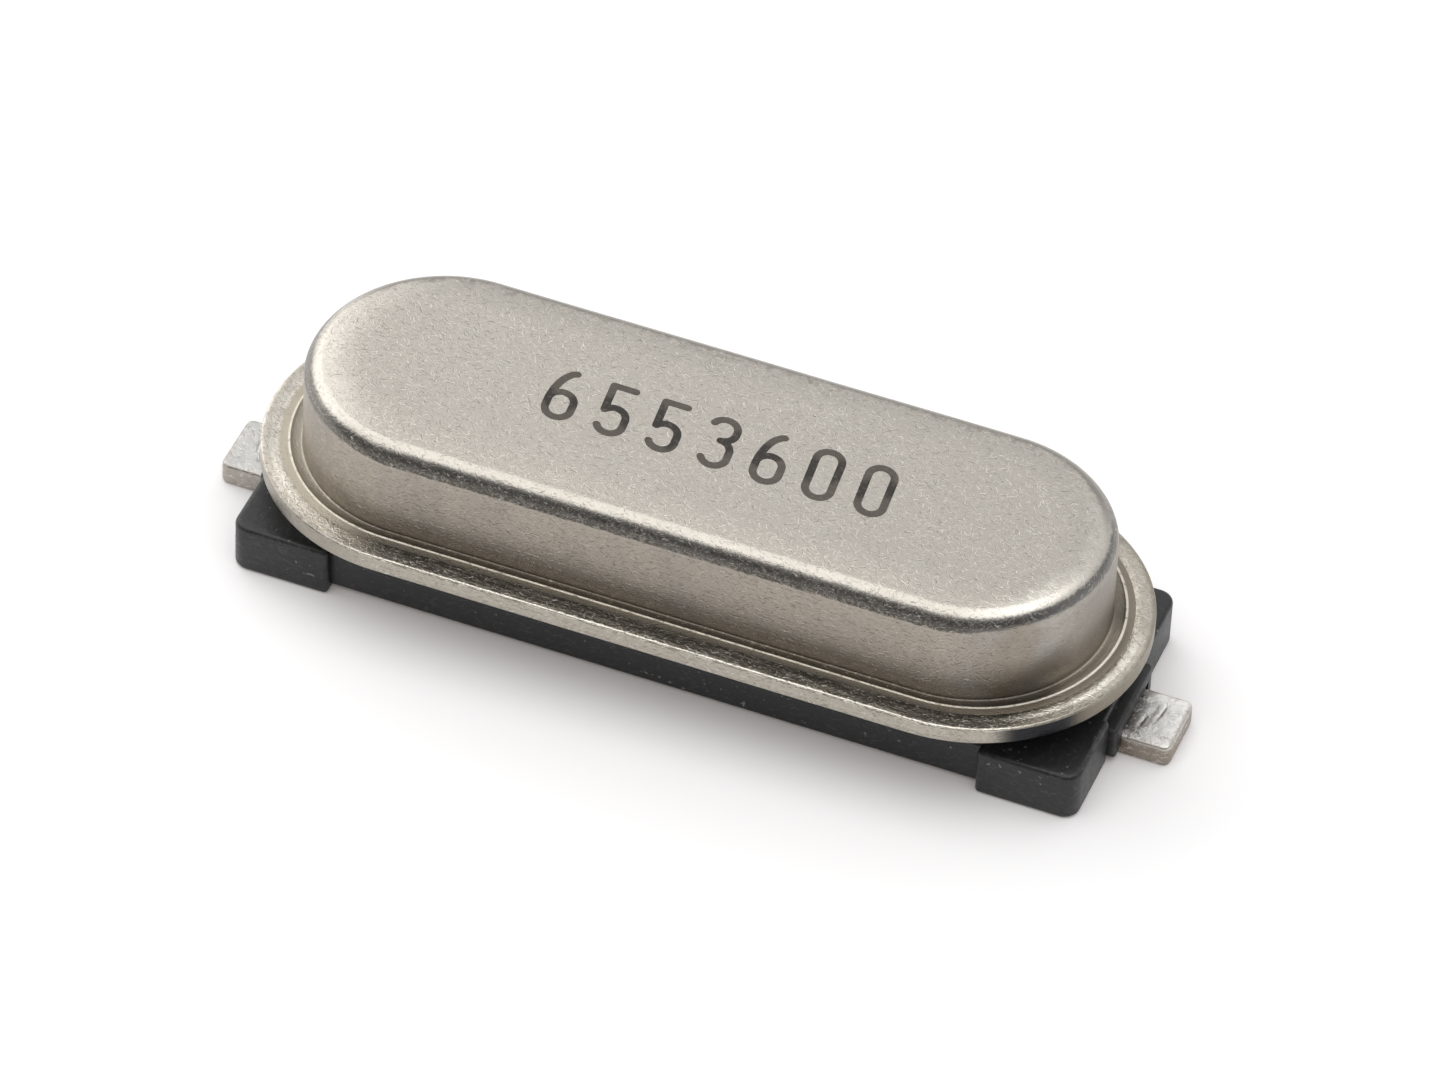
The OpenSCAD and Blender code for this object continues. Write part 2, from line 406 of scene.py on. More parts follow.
def finish_shader(shader, tone, rough, relief, depth, metallic=1.0):
    """Feeds a material's colour, roughness and fine relief to its Principled BSDF."""
    connect(tone, shader.inputs["Base Color"])
    connect(rough, shader.inputs["Roughness"])
    connect(metallic, shader.inputs["Metallic"])
    bump = shader.id_data.nodes.new("ShaderNodeBump")
    connect(depth, bump.inputs["Distance"])
    connect(relief, bump.inputs["Height"])
    connect(bump.outputs["Normal"], shader.inputs["Normal"])


marks = tumble_marks()
reach = obround_reach()


def tumbled_nickel():
    """Warm grey nickel: light on top, painted shade on the wall, a painted dark reflection under the
    edge.
    """
    material, shader, position = shader_start("tumbled_nickel")
    light, dark, cloud, relief = place_group(marks, position)
    out, height, along, across = place_group(reach, position)
    wall = wall_r / mm
    flange = flange_z / mm
    ragged = noise_value(position, 9.0, 3.0, 0.7)
    edge = add_share(ragged, 0.05, math_node("SUBTRACT", can_top / mm, height))
    on_wall = ramp(edge, 0.10, 0.30)
    off_wall = fade(out, wall + 0.01, wall + 0.10)
    right_end = ramp(along, 3.5, 4.5)
    left_end = fade(along, -4.3, -3.3)

    # the sheet itself, with painted shade on the wall, its clouds and dark hair marks
    tone = tint(on_wall, (0.530, 0.494, 0.440), (0.405, 0.363, 0.310))
    tone = tint(ramp(cloud, 0.3, 0.7), tone, (0.42, 0.385, 0.345), 0.16)
    tone = tint(dark, tone, (0.17, 0.152, 0.125), 0.38)

    # a painted dark reflection in a line under the edge, narrower at both ends
    narrowed = add_share(left_end, 0.045, add_share(right_end, 0.078, edge))
    darkened = times(ramp(edge, 0.09, 0.13), fade(narrowed, 0.275, 0.305))
    darkened = times(darkened, ramp(along, -4.4, -3.4, 0.78, 1.0))
    dark_band_tone = tint(ramp(edge, 0.16, 0.27), (0.165, 0.155, 0.142), (0.060, 0.055, 0.048))
    brushed = noise_value(position, 30.0, 3.0, 0.75, 0.8)
    dark_band_tone = tint(ramp(brushed, 0.46, 0.68), dark_band_tone, (0.40, 0.375, 0.34), 0.66)
    dark_band_tone = tint(right_end, dark_band_tone, (0.165, 0.164, 0.166), 0.55)
    tone = tint(darkened, tone, dark_band_tone, 0.9)

    # a painted highlight along the edge, most at the front right, and the light hair marks
    widened = add_share(left_end, 0.022, add_share(right_end, 0.012, edge))
    edge_highlight = times(ramp(widened, 0.042, 0.074), fade(edge, 0.098, 0.122))
    front_right = times(ramp(across, -0.1, -0.9, 0.25, 1.0), right_end)
    at_ends = math_node("ADD", add_share(left_end, 0.26, front_right), 0.10)
    tone = tint(times(edge_highlight, at_ends), tone, (0.95, 0.90, 0.81), 0.65)
    tone = tint(light, tone, (0.80, 0.76, 0.69), 0.30)

    # painted shade at the wall's foot, upright stains, and painted reflections in patches at the
    # right end
    foot_shade = times(fade(height, 1.30, 1.66), off_wall)
    tone = tint(foot_shade, tone, (0.075, 0.064, 0.048), 0.10)
    stains = noise_value(position, 1.5, 3.0, 0.6, stretch=(1.0, 1.0, 0.45))
    tone = tint(times(ramp(stains, 0.48, 0.68), on_wall), tone, (0.25, 0.245, 0.24), 0.30)
    patches = noise_value(position, 1.1, 4.0, 0.6, 0.4, stretch=(1.0, 1.0, 0.5))
    patch_tone = tint(ramp(patches, 0.42, 0.58), (0.47, 0.475, 0.48), (0.30, 0.25, 0.18))
    tone = tint(times(right_end, on_wall), tone, patch_tone, 0.30)

    # a slanting painted shade on the right end's wall, with more painted shade outwards and towards
    # its foot
    slant = add_share(patches, 0.3, add_share(along, -0.75, height))
    shade = times(
        band(slant, -2.00, -1.75, -1.62, -1.36),
        ramp(along, 3.8, 4.3), ramp(across, -0.6, -1.0), on_wall,
    )
    tone = tint(shade, tone, (0.13, 0.12, 0.105), 0.45)
    tone = tint(times(ramp(along, 4.7, 5.05), on_wall), tone, (0.22, 0.195, 0.165), 0.46)
    low_end = times(
        ramp(height, 2.0, 1.55), ramp(along, 3.9, 4.5), off_wall,
        ramp(along, 4.7, 4.95, 1.0, 0.5),
    )
    tone = tint(low_end, tone, (0.125, 0.104, 0.076), 0.48)

    # a thin line of painted shade along the edge at the back
    back_edge = times(band(edge, 0.046, 0.064, 0.11, 0.16), ramp(across, 0.3, 1.1))
    tone = tint(back_edge, tone, (0.33, 0.305, 0.27), 0.9)

    # painted shade in the gap between wall and crest on the flange, painted lighter where the right
    # end opens it
    on_flange = ramp(height, flange + 0.033, flange + 0.020)
    opened = times(ramp(along, 4.65, 4.95), ramp(across, 0.5, -0.1))
    near_crest = times(ramp(out, wall + 0.01, wall + 0.10), opened)
    gap_tone = tint(left_end, (0.20, 0.178, 0.145), (0.41, 0.375, 0.31))
    gap_tone = tint(opened, gap_tone, (0.50, 0.45, 0.37), 0.85)
    # a painted highlight in the opened gap next to the crest
    gap_tone = tint(near_crest, gap_tone, (0.95, 0.87, 0.75))
    tone = tint(on_flange, tone, gap_tone, 0.9)
    # small painted glints in the gap, not at the right end
    sparkle = ramp(noise_value(position, 17.0, 2.0, 0.6), 0.58, 0.68)
    tone = tint(times(sparkle, on_flange, opposite(right_end)), tone, (0.50, 0.455, 0.38), 0.6)

    # painted shade on the slope beyond the crest, lighter at the back of the right end and at the
    # left end
    outwards = ramp(out, wall + 0.145, wall + 0.22)
    slope_tone = tint(outwards, (0.155, 0.131, 0.098), (0.090, 0.082, 0.070))
    right_tone = tint(outwards, (0.115, 0.096, 0.070), (0.19, 0.162, 0.12))
    right_tone = tint(ramp(across, -0.1, 0.6), right_tone, (0.33, 0.29, 0.23), 0.8)
    slope_tone = tint(right_end, slope_tone, right_tone)
    slope_tone = tint(left_end, slope_tone, (0.37, 0.33, 0.265))
    tone = tint(ramp(out, wall + 0.122, wall + 0.138), tone, slope_tone, 0.9)

    # the crest's worn top, with a painted highlight on it
    crest = times(
        ramp(height, flange + 0.0125, flange + 0.0165),
        ramp(out, wall + 0.094, wall + 0.108),
        ramp(ragged, 0.34, 0.5, 0.4, 1.0),
    )
    crest_tone = tint(left_end, (0.86, 0.81, 0.71), (0.66, 0.61, 0.52))
    tone = tint(crest, tone, crest_tone, 0.85)
    rough = add_share(on_wall, 0.12, add_share(cloud, 0.12, 0.25))
    finish_shader(shader, tone, rough, relief, 0.0016 * mm)
    return material


can = obround_solid("can_shell", can_profile(), 40, pull=0.05 * mm)
paint(can, tumbled_nickel())
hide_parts("can")
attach(can, "root")


# --- Header plate ----------------------------------------------------------------------------
# The stamped metal floor that the can is welded to: an outer lip, a shallow valley and a
# raised centre inside the can. Two round holes through the centre take the glass seals.

header_low, header_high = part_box("header_plate")
rim_r = header_high.y
header_z = header_low.z
plug_z = header_high.z
lip_top = header_z + 0.24 * mm
plug_r = wall_r - sheet_t - 0.06 * mm
pin_x = 2.44 * mm
seal_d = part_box("glass_seal_right")[1].y * 2


def header_profile():
    """Half section of the header, from the raised centre down and round the lip."""
    shoulder = 0.06 * mm
    crown_round = 0.03 * mm
    under_round = 0.04 * mm
    lip_r = flange_r - 0.005 * mm
    slope_r = lip_r + 0.012 * mm
    valley_z = lip_top + 0.003 * mm
    swell_r = rim_r - 0.14 * mm
    swell_z = lip_top + 0.007 * mm
    crown_r = rim_r - crown_round
    points = [(0.0, plug_z)]
    points += line((0.0, plug_z), (plug_r - shoulder, plug_z), 4)
    points += [(plug_r - shoulder, plug_z), (plug_r, plug_z - shoulder), (plug_r, seat_z)]
    points += line((plug_r, seat_z), (lip_r, seat_z), 4)
    points += [(lip_r, seat_z), (lip_r, valley_z)]
    for i in range(9):
        t = (1 - math.cos(math.pi * i / 8)) / 2
        points.append((slope_r + (swell_r - slope_r) * i / 8, valley_z + (swell_z - valley_z) * t))
    for i in range(1, 9):
        t = i / 8
        points.append((swell_r + (crown_r - swell_r) * t, swell_z + (lip_top - swell_z) * t * t))
    points += arc((crown_r, lip_top - crown_round), crown_round, 84, 0, 10)
    points += line(points[-1], (rim_r, header_z + under_round), 3)
    points += arc((rim_r - under_round, header_z + under_round), under_round, 0, -90, 4)
    points.append((0.0, header_z))
    return points


def cut_away(piece, cutters, operation="DIFFERENCE"):
    """Applies a piece's modifiers and exact booleans with the cutters, then deletes these."""
    for cutter in cutters:
        step = piece.modifiers.new("cut", "BOOLEAN")
        step.operation = operation
        step.solver = "EXACT"
        step.object = cutter
    graph = bpy.context.evaluated_depsgraph_get()
    made = bpy.data.meshes.new_from_object(piece.evaluated_get(graph))
    piece.modifiers.clear()
    spent = piece.data
    piece.data = made
    bpy.data.meshes.remove(spent)
    for cutter in cutters:
        bpy.data.objects.remove(cutter)


def round_bar(name, x, radius, low, high, steps=48):
    """An upright closed cylinder, used to cut a hole."""
    bm = bmesh.new()
    bmesh.ops.create_cone(
        bm, cap_ends=True, segments=steps, radius1=radius, radius2=radius, depth=high - low,
        matrix=Matrix.Translation((x, 0.0, (low + high) / 2)),
    )
    return finish_mesh(name, bm, 40)


def worn_header():
    """Yellower nickel, with streaks of painted shade along the straight valley and a bright worn
    edge.
    """
    material, shader, position = shader_start("worn_header")
    light, dark, cloud, relief = place_group(marks, position, Fineness=1.1)
    reached, height, along, across = place_group(reach, position)
    rim = rim_r / mm
    lip = lip_top / mm
    ragged = noise_value(position, 16.0, 3.0, 0.75)
    beaten = noise_value(position, 6.0, 3.0, 0.6)
    out = add_share(ragged, 0.05, reached)
    on_side = ramp(height, lip - 0.014, lip - 0.034)
    straight = band(along, -4.1, -3.2, 4.3, 5.0)
    ends = opposite(straight)
    right_end = ramp(along, 4.3, 5.0)
    left_end = fade(along, -4.1, -3.2)

    # the sheet, with painted shade on its upright side, then streaks of painted shade and painted
    # glints along the straight lip
    tone = tint(ramp(cloud, 0.35, 0.65), (0.68, 0.635, 0.555), (0.57, 0.52, 0.44))
    tone = tint(on_side, tone, (0.40, 0.368, 0.318), 0.85)
    valley = fade(out, rim - 0.010, rim + 0.004)
    streaks = noise_value(position, 2.4, 4.0, 0.65, stretch=(0.7, 9.0, 9.0))
    valley_shade = times(valley, ramp(streaks, 0.46, 0.70, 1.0, 0.55), straight)
    tone = tint(valley_shade, tone, (0.078, 0.073, 0.066), 0.92)
    glints = noise_value(position, 4.5, 4.0, 0.75, stretch=(1.0, 7.0, 7.0))
    glints = times(ramp(glints, 0.57, 0.68), valley, straight)
    tone = tint(glints, tone, (0.60, 0.56, 0.49), 0.6)

    # painted light and shade on the lip's inner half at the ends: pale at the left with a shaded dip,
    # then a painted highlight on the ridge
    inner = fade(out, rim - 0.17, rim - 0.09)
    tone = tint(times(inner, left_end), tone, (0.90, 0.85, 0.75), 0.75)
    dip = fade(out, rim - 0.225, rim - 0.165)
    tone = tint(times(dip, left_end), tone, (0.42, 0.375, 0.31), 0.6)
    ridge = band(out, rim - 0.20, rim - 0.175, rim - 0.10, rim - 0.07)
    tone = tint(times(ridge, ends), tone, (0.86, 0.81, 0.72), 0.45)
    back_right = times(right_end, ramp(across, -0.2, 0.5))
    front_right = math_node("SUBTRACT", right_end, back_right)
    tone = tint(times(ridge, front_right), tone, (0.99, 0.94, 0.84), 0.85)
    # painted shade at the back of the right end
    tone = tint(back_right, tone, (0.40, 0.37, 0.32), 0.5)

    # hair marks, the worn edge, and mottling at the ends
    tone = tint(dark, tone, (0.22, 0.20, 0.16), 0.35)
    uneven_wear = ramp(noise_value(position, 5.0, 3.0, 0.7), 0.3, 0.5)
    worn = times(ramp(out, rim - 0.004, rim + 0.008), opposite(on_side), uneven_wear)
    tone = tint(worn, tone, (0.86, 0.82, 0.73), 0.6)
    tone = tint(light, tone, (0.86, 0.82, 0.73), 0.45)
    mottle = ramp(noise_value(position, 6.5, 4.0, 0.75, 0.5), 0.47, 0.62)
    tone = tint(times(mottle, ends), tone, (0.38, 0.33, 0.25), 0.45)

    # painted shade on the lip's outer fall at both ends, and on its middle at the far left
    outer = ramp(out, rim - 0.055, rim + 0.015)
    far_left = fade(along, -5.3, -4.95)
    near_left = math_node("SUBTRACT", left_end, far_left)
    middle = band(out, rim - 0.19, rim - 0.14, rim - 0.03, rim + 0.005)
    tone = tint(times(outer, right_end), tone, (0.25, 0.222, 0.178), 0.72)
    tone = tint(times(outer, near_left), tone, (0.32, 0.295, 0.255), 0.8)
    tone = tint(times(middle, far_left), tone, (0.40, 0.375, 0.335), 0.75)

    # the upright side: a painted reflection of the black base before the right end, painted brown
    # shade at its tip, chipped on top
    base_reflection = times(on_side, band(along, 4.25, 4.6, 5.05, 5.35))
    tone = tint(base_reflection, tone, (0.026, 0.027, 0.031), 0.98)
    tone = tint(times(on_side, ramp(along, 5.0, 5.3)), tone, (0.24, 0.205, 0.155), 0.6)
    drop = add_share(ragged, 0.022, height)
    chipped = band(drop, lip - 0.026, lip - 0.019, lip - 0.012, lip - 0.005)
    chipped = times(chipped, ramp(beaten, 0.40, 0.55), straight)
    tone = tint(chipped, tone, (0.10, 0.083, 0.062), 0.7)
    rough = add_share(ragged, 0.16, 0.24)
    finish_shader(shader, tone, rough, add_share(beaten, 4.0, relief), 0.0026 * mm)
    return material


header = obround_solid("header_rim", header_profile(), 40, bulge=0.014 * mm)
over = 0.1 * mm
cut_away(header, [
    round_bar("seal_cutter", side * pin_x, seal_d / 2, header_z - over, plug_z + over)
    for side in (-1, 1)
])
paint(header, worn_header())
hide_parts("header_plate")
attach(header, "root")


# --- Base moulding ---------------------------------------------------------------------------
# One black moulding that turns the leaded crystal into a surface-mount part: a raised bed for
# the header, set-back side rails, four corner feet and a saddle over each lead.

base_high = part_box("base_moulding")[1]
foot_y = base_high.y
saddle_x = base_high.x
foot_x = saddle_x - 0.1 * mm
foot_h = 0.67 * mm
foot_l = 1.25 * mm
foot_w = 1.12 * mm
foot_round = 0.2 * mm
rail_y = foot_y - 0.12 * mm
rail_z = 0.07 * mm
end_x = foot_x - 0.05 * mm
saddle_w = 1.26 * mm
saddle_h = 0.52 * mm
lead_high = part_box("lead_right")[1]
tip_x = lead_high.x
tip_w = lead_high.y * 2
tip_t = 0.3 * mm
tip_l = 1.9 * mm
wire_r = 0.215 * mm
lead_gap = 0.05 * mm
flat_x = tip_x - tip_l


def slab(name, outline, low, high, soft=0.0):
    """A closed upright prism on a plan outline, with moulded edges where it is soft."""
    bm = bmesh.new()
    bottom = [bm.verts.new((x, y, low)) for x, y in outline]
    top = [bm.verts.new((x, y, high)) for x, y in outline]
    bm.faces.new(bottom)
    bm.faces.new(top)
    join_rings(bm, [bottom, top])
    block = finish_mesh(name, bm, 30)
    if soft:
        edge = block.modifiers.new("moulded_edge", "BEVEL")
        edge.width = soft
        edge.segments = 4
        edge.limit_method = "ANGLE"
        edge.angle_limit = math.radians(35)
        cut_away(block, [])
    return block


def rectangle(x0, y0, x1, y1):
    """Plan outline of a rectangle."""
    return [(x0, y0), (x1, y0), (x1, y1), (x0, y1)]


def foot_outline(side_x, side_y):
    """Plan outline of one corner foot, rounded at its outer corner."""
    inner_x = foot_x - foot_l
    inner_y = foot_y - foot_w
    corner = arc((foot_x - foot_round, foot_y - foot_round), foot_round, 0, 90, 8)
    outline = [(inner_x, inner_y), (foot_x, inner_y), *corner, (inner_x, foot_y)]
    return [(side_x * x, side_y * y) for x, y in outline]


def bed_outline():
    """Plan outline of the raised bed, an obround inside the side rails."""
    points = arc((half_run, 0.0), rail_y, -90, 90, 28)
    return points + [(-x, -y) for x, y in points]


def lead_cutters(side):
    """The room under the base for one lead: its wire, its bend and its flat tip."""
    slot_r = wire_r + lead_gap
    over = 0.3 * mm
    deep = -0.2 * mm
    bend_end = pin_x + 0.4 * mm
    bend_top = 0.615 * mm
    slot_end = flat_x + 0.17 * mm
    boxes = [
        ((pin_x, bend_end), slot_r, bend_top),
        ((pin_x, slot_end), slot_r, 2 * wire_r + lead_gap),
        ((flat_x - lead_gap, tip_x + over), tip_w / 2 + lead_gap, tip_t + lead_gap),
    ]
    cutters = [round_bar("post_cutter", side * pin_x, slot_r, deep, base_high.z + over)]
    for (x0, x1), half_w, top in boxes:
        outline = [(side * x, y) for x, y in rectangle(x0, -half_w, x1, half_w)]
        cutters.append(slab("lead_cutter", outline, deep, top))
    return cutters


def moulded_black():
    """Satin black plastic: a fine mould skin, a few pale dust specks, greyer worn edges with a
    painted highlight.
    """
    material, shader, position = shader_start("moulded_black")
    light = place_group(marks, position, Fineness=0.7)[0]
    mottle = noise_value(position, 1.6, 3.0, 0.55)
    skin = noise_value(position, 16.0, 3.0, 0.65)
    dusty = ramp(noise_value(position, 1.4, 2.0), 0.45, 0.65, 0.0, 0.05)
    dust = math_node("ADD", noise_value(position, 14.0, 1.0), dusty)
    geometry = shader.id_data.nodes.new("ShaderNodeNewGeometry")
    facing_up = parts_of(geometry.outputs["Normal"])[2]
    # greyer edges, partly worn and partly a painted highlight
    edge_highlight = ramp(geometry.outputs["Pointiness"], 0.53, 0.60)
    edge_highlight = times(edge_highlight, ramp(skin, 0.42, 0.62))
    tone = tint(mottle, (0.0058, 0.0060, 0.0065), (0.0112, 0.0112, 0.0119))
    # painted light: faces that look up are lighter
    tone = tint(ramp(facing_up, 0.7, 0.97), tone, (0.026, 0.026, 0.027), 0.5)
    tone = tint(edge_highlight, tone, (0.11, 0.11, 0.112), 0.35)
    tone = tint(light, tone, (0.09, 0.09, 0.09), 0.25)
    tone = tint(ramp(dust, 0.745, 0.775), tone, (0.26, 0.25, 0.24), 0.5)
    relief = add_share(skin, 0.8, mottle)
    finish_shader(shader, tone, add_share(skin, 0.3, 0.26), relief, 0.006 * mm, metallic=0.0)
    return material


base = slab("base_body", bed_outline(), rail_z, base_high.z, 0.04 * mm)
feet = [
    slab("foot", foot_outline(side_x, side_y), 0.0, foot_h, 0.06 * mm)
    for side_x in (-1, 1)
    for side_y in (-1, 1)
]
rails = slab("rails", rectangle(-end_x, -rail_y, end_x, rail_y), rail_z, foot_h, 0.045 * mm)
saddle_plan = rectangle(-saddle_x, -saddle_w / 2, saddle_x, saddle_w / 2)
saddles = slab("saddles", saddle_plan, rail_z, saddle_h, 0.05 * mm)
cut_away(base, [rails, saddles, *feet], "UNION")
cut_away(base, lead_cutters(-1) + lead_cutters(1))
smooth_shade(base.data, 32)
paint(base, moulded_black())
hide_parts("base_moulding")
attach(base, "root")


# --- Leads -----------------------------------------------------------------------------------
# Two tinned wires from the glass seals. Each bends outwards under the base, and its end is
# pressed flat into a solder tip, with a small press mark and the plating worn at the edges.

post_z = lead_high.z
bend_r = 0.4 * mm
tip_overlap = 0.12 * mm


def wire_tube(name, path, radius, around=24):
    """A closed round wire along a path in the XZ plane."""
    bm = bmesh.new()
    rings = []
    for i, point in enumerate(path):
        ahead = path[min(i + 1, len(path) - 1)]
        behind = path[max(i - 1, 0)]
        along = (ahead - behind).normalized()
        across = Vector((0.0, 1.0, 0.0))
        lift = along.cross(across)
        ring = []
        for k in range(around):
            angle = 2 * math.pi * k / around
            outward = math.cos(angle) * across + math.sin(angle) * lift
            ring.append(bm.verts.new(point + radius * outward))
        rings.append(ring)
    join_rings(bm, rings)
    bm.faces.new(rings[0])
    bm.faces.new(rings[-1])
    return finish_mesh(name, bm, 40)


def tip_section(half_w, half_t, edge):
    """Points round a tip's cross-section, a flat bar with soft edges, with fine flat faces."""
    corners = [
        arc((side_y * (half_w - edge), side_z * (half_t - edge)), edge, start, start + 90, 5)
        for side_y, side_z, start in ((1, 1, 0), (-1, 1, 90), (-1, -1, 180), (1, -1, 270))
    ]
    points = []
    for k in range(4):
        target = corners[(k + 1) % 4][0]
        points += corners[k] + line(corners[k][-1], target, 24 if k % 2 == 0 else 4)
    return points


def press_dent(x, y):
    """Depth of the two short marks that the press leaves across a tip, and of its soft sag."""
    mark_depth = 0.013 * mm
    mark_half = 0.022 * mm
    mark_slant = 0.15
    sag = 0.004 * mm
    sags_per_m = 2.5 / mm
    depth = 0.0
    for back, centre_y, half in ((0.30, 0.10, 0.13), (0.46, -0.12, 0.10)):
        off_x = (tip_x - back * mm - x + mark_slant * (y - centre_y * mm)) / mark_half
        off_y = (y - centre_y * mm) / (half * mm)
        depth += mark_depth * math.exp(-off_x * off_x - off_y ** 4)
    return depth + sag * (0.5 + noise.noise(Vector((x, y, 0.0)) * sags_per_m))


def pressed_tip(name, side):
    """The flattened tip: swept along X, rounded at its free end, dented on top."""
    edge = 0.045 * mm
    corner = 0.1 * mm
    bm = bmesh.new()
    rings = []
    fine_x = tip_x - 0.7 * mm
    runs = [flat_x + (fine_x - flat_x) * i / 12 for i in range(12)]
    runs += [fine_x + (tip_x - corner - fine_x) * i / 90 for i in range(91)]
    runs += [tip_x - corner + corner * math.sin(math.radians(9 * i)) for i in range(1, 11)]
    for x in runs:
        past = max(0.0, x - (tip_x - corner)) / corner
        shrink = 1 - math.sqrt(max(0.0, 1 - past * past))
        half_w = tip_w / 2 - corner * shrink
        lift = max(0.0, x - (tip_x - edge)) / edge
        half_t = tip_t / 2 - edge * (1 - math.sqrt(max(0.0, 1 - lift * lift)))
        ring = []
        for y, z in tip_section(half_w, half_t, min(edge, half_t * 0.9)):
            top_share = max(0.0, z / (tip_t / 2)) ** 4
            sink = press_dent(x, y) * top_share
            ring.append(bm.verts.new((side * x, y, tip_t / 2 + z - sink)))
        rings.append(ring)
    join_rings(bm, rings)
    bm.faces.new(rings[0])
    bm.faces.new(rings[-1])
    return finish_mesh(name, bm, 40)


def worn_tin():
    """Pale tin plating with cloudy blotches, grey press dirt, brown metal at worn edges, and painted
    shade and highlights.
    """
    material, shader, position = shader_start("worn_tin")
    light, dark, _, relief = place_group(marks, position, Fineness=0.8)
    end_x = tip_x / mm
    side_y = tip_w / 2 / mm
    top_z = tip_t / mm
    blotch = noise_value(position, 4.5, 3.0, 0.6, 0.6)
    scuff = noise_value(position, 9.0, 3.0, 0.65)
    along, across, height = parts_of(position)
    out = math_node("ABSOLUTE", along)
    sideways = add_share(scuff, 0.10, math_node("ABSOLUTE", across))
    left_lead = fade(along, -5.0, -4.5)
    on_right = opposite(left_lead)
    on_side = ramp(height, top_z - 0.03, top_z - 0.07)

    # the plating, with painted shade on its sides, deepest on the right lead, and greyer on the left
    # lead
    tone = tint(ramp(blotch, 0.4, 0.65), (0.86, 0.845, 0.81), (0.68, 0.665, 0.635))
    side_tone = tint(left_lead, (0.27, 0.248, 0.218), (0.62, 0.60, 0.57))
    tone = tint(on_side, tone, side_tone, 0.88)
    tone = tint(left_lead, tone, (0.50, 0.49, 0.475), 0.65)

    # dirt behind the press mark, and dull metal next to the body
    mark_x = end_x - 0.34
    slanted = add_share(scuff, 0.08, add_share(across, -0.15, out))
    pressed = band(slanted, mark_x - 0.03, mark_x, mark_x + 0.02, mark_x + 0.05)
    tone = tint(times(pressed, fade(sideways, 0.24, 0.32)), tone, (0.16, 0.145, 0.125), 0.5)
    near_body = fade(add_share(scuff, 0.25, out), 5.62, 5.80)
    dull = times(near_body, ramp(scuff, 0.38, 0.52), on_right)
    tone = tint(dull, tone, (0.10, 0.092, 0.08), 0.8)

    # a painted highlight along the border on top of the right lead, then bare brown metal at the very
    # edges
    bright_y = ramp(sideways, side_y - 0.075, side_y - 0.035)
    bright_x = ramp(out, end_x - 0.12, end_x - 0.08)
    bright = times(math_node("MAXIMUM", bright_x, bright_y), ramp(blotch, 0.35, 0.5))
    bright = times(bright, on_right, opposite(on_side))
    tone = tint(bright, tone, (0.97, 0.95, 0.91), 0.7)
    worn_y = ramp(sideways, side_y - 0.01, side_y + 0.03)
    worn_x = ramp(add_share(scuff, 0.10, out), end_x - 0.01, end_x + 0.03)
    tone = tint(math_node("MAXIMUM", worn_x, worn_y), tone, (0.30, 0.245, 0.19), 0.5)
    tone = tint(dark, tone, (0.28, 0.26, 0.23), 0.3)
    tone = tint(light, tone, (0.95, 0.93, 0.89), 0.4)
    rough = add_share(blotch, 0.2, 0.3)
    finish_shader(shader, tone, rough, add_share(blotch, 1.5, relief), 0.002 * mm)
    return material


tin = worn_tin()
for side, node in ((-1, "lead_left"), (1, "lead_right")):
    bend = [
        Vector((side * x, 0.0, z))
        for x, z in arc((pin_x + bend_r, wire_r + bend_r), bend_r, 180, 270, 9)
    ]
    post_end = Vector((side * pin_x, 0.0, post_z))
    run_end = Vector((side * (flat_x + tip_overlap), 0.0, wire_r))
    lead = wire_tube(node + "_wire", [post_end, *bend, run_end], wire_r)
    cut_away(lead, [pressed_tip("tip", side)], "UNION")
    smooth_shade(lead.data, 35)
    paint(lead, tin)
    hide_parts(node)
    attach(lead, "root")


# --- Glass seals -----------------------------------------------------------------------------
# A ring of dark green sealing glass is fused round each wire where it passes the header.
# Their faces show only from inside the can, and the CAD rings are kept as they are.


def sealing_glass():
    """Fused glass with small bubbles."""
    material, shader, position = shader_start("sealing_glass")
    bubbles = ramp(noise_value(position, 20.0, 2.0), 0.6, 0.7)
    tone = tint(bubbles, (0.06, 0.14, 0.11), (0.22, 0.34, 0.30))
    finish_shader(shader, tone, add_share(bubbles, 0.3, 0.08), bubbles, 0.002 * mm, metallic=0.0)
    return material


seal_finish = sealing_glass()
for node in ("glass_seal_left", "glass_seal_right"):
    paint(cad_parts[node], seal_finish)


# --- Mounting clips --------------------------------------------------------------------------
# A folded strip of thin spring metal is welded to the top of each wire. Its shelf carries the
# end of the quartz blank, and its upright stop keeps the blank in place.


def rolled_spring():
    """Satin strip with rolling lines along it."""
    material, shader, position = shader_start("rolled_spring")
    lines = noise_value(position, 3.0, 3.0, 0.6, stretch=(1.0, 14.0, 14.0))
    tone = tint(lines, (0.60, 0.58, 0.52), (0.42, 0.40, 0.35))
    finish_shader(shader, tone, add_share(lines, 0.25, 0.18), lines, 0.001 * mm)
    return material


clip_finish = rolled_spring()
for node in ("mounting_clip_left", "mounting_clip_right"):
    paint(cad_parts[node], clip_finish)


# --- Quartz blank ----------------------------------------------------------------------------
# The strip of quartz that vibrates. It is cut from a clear crystal bar and lapped to its
# thickness, which leaves a fine frosted face.


